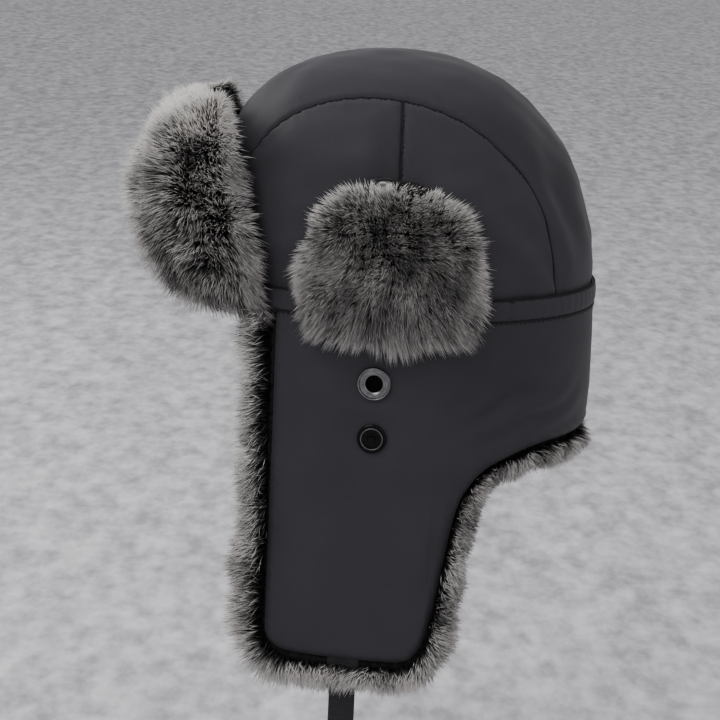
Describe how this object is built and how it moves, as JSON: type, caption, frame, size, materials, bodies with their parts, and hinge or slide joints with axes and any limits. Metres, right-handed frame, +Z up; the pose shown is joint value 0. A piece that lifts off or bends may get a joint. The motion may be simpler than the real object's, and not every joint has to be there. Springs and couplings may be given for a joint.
{
  "type": "trapper hat",
  "caption": "Padded winter hat with a domed crown, a turned-up fur visor, ear covers that snap up or down, and fur-lined ear flaps with chin straps.",
  "frame": {"origin": "middle of the head opening, level with the bottom of the band round the crown", "axes": "+Z up through the crown, -X the wearer's front, -Y the wearer's left"},
  "size_m": [0.2743, 0.2206, 0.4947],
  "materials": {
    "nylon": "matt woven nylon",
    "fur": "long pile with pale tips",
    "wadding": "soft fibre",
    "quilted_lining": "quilted satin",
    "webbing": "ribbed webbing",
    "black_plastic": "moulded",
    "black_metal": "black lacquer",
    "bright_metal": "polished nickel"
  },
  "bodies": {
    "crown": {"crown_band": "nylon", "crown_centre_panel": "nylon", "crown_lining": "quilted_lining", "crown_side_front_left": "nylon", "crown_side_front_right": "nylon", "crown_side_rear_left": "nylon", "crown_side_rear_right": "nylon", "crown_wadding": "wadding", "ear_eyelets": "bright_metal", "eyelet_washers": "bright_metal", "wrap_fur_left": "fur", "wrap_fur_right": "fur", "wrap_shell_left": "nylon", "wrap_shell_right": "nylon", "wrap_snap_backs": "bright_metal", "wrap_snap_studs": "black_metal", "wrap_wadding_left": "wadding", "wrap_wadding_right": "wadding"},
    "visor": {"visor_fur": "fur", "visor_shell": "nylon", "visor_wadding": "wadding"},
    "ear_cover_left": {"ear_cover_fur_left": "fur", "ear_cover_shell_left": "nylon", "ear_cover_snap_cap_left": "black_metal", "ear_cover_snap_socket_left": "bright_metal"},
    "ear_cover_right": {"ear_cover_fur_right": "fur", "ear_cover_shell_right": "nylon", "ear_cover_snap_cap_right": "black_metal", "ear_cover_snap_socket_right": "bright_metal"},
    "ear_flap_left": {"buckle_socket": "black_plastic", "chin_strap_left": "webbing", "ear_flap_fur_left": "fur", "ear_flap_shell_left": "nylon", "ear_flap_wadding_left": "wadding", "strap_tab_left": "webbing"},
    "ear_flap_right": {"buckle_prongs": "black_plastic", "chin_strap_right": "webbing", "ear_flap_fur_right": "fur", "ear_flap_shell_right": "nylon", "ear_flap_wadding_right": "wadding", "strap_slider": "black_plastic", "strap_tab_right": "webbing"}
  },
  "joints": [
    {"name": "visor_hinge", "type": "hinge", "parent": "crown", "child": "visor", "pos_m": [-0.1134, 0, 0.001], "axis": [0, -1, 0], "range_deg": [0, 110], "deforming": ["visor_fur"]},
    {"name": "ear_cover_left_hinge", "type": "hinge", "parent": "crown", "child": "ear_cover_left", "pos_m": [0, -0.0922, 0.002], "axis": [1, 0, 0], "range_deg": [0, 184], "deforming": ["ear_cover_fur_left"]},
    {"name": "ear_cover_right_hinge", "type": "hinge", "parent": "crown", "child": "ear_cover_right", "pos_m": [0, 0.0922, 0.002], "axis": [-1, 0, 0], "range_deg": [0, 184], "deforming": ["ear_cover_fur_right"]},
    {"name": "ear_flap_left_hinge", "type": "hinge", "parent": "crown", "child": "ear_flap_left", "pos_m": [-0.0135, -0.0883, -0.086], "axis": [-0.993, 0.118, 0], "range_deg": [0, 150]},
    {"name": "ear_flap_right_hinge", "type": "hinge", "parent": "crown", "child": "ear_flap_right", "pos_m": [-0.0135, 0.0883, -0.086], "axis": [0.993, 0.118, 0], "range_deg": [0, 150]}
  ]
}
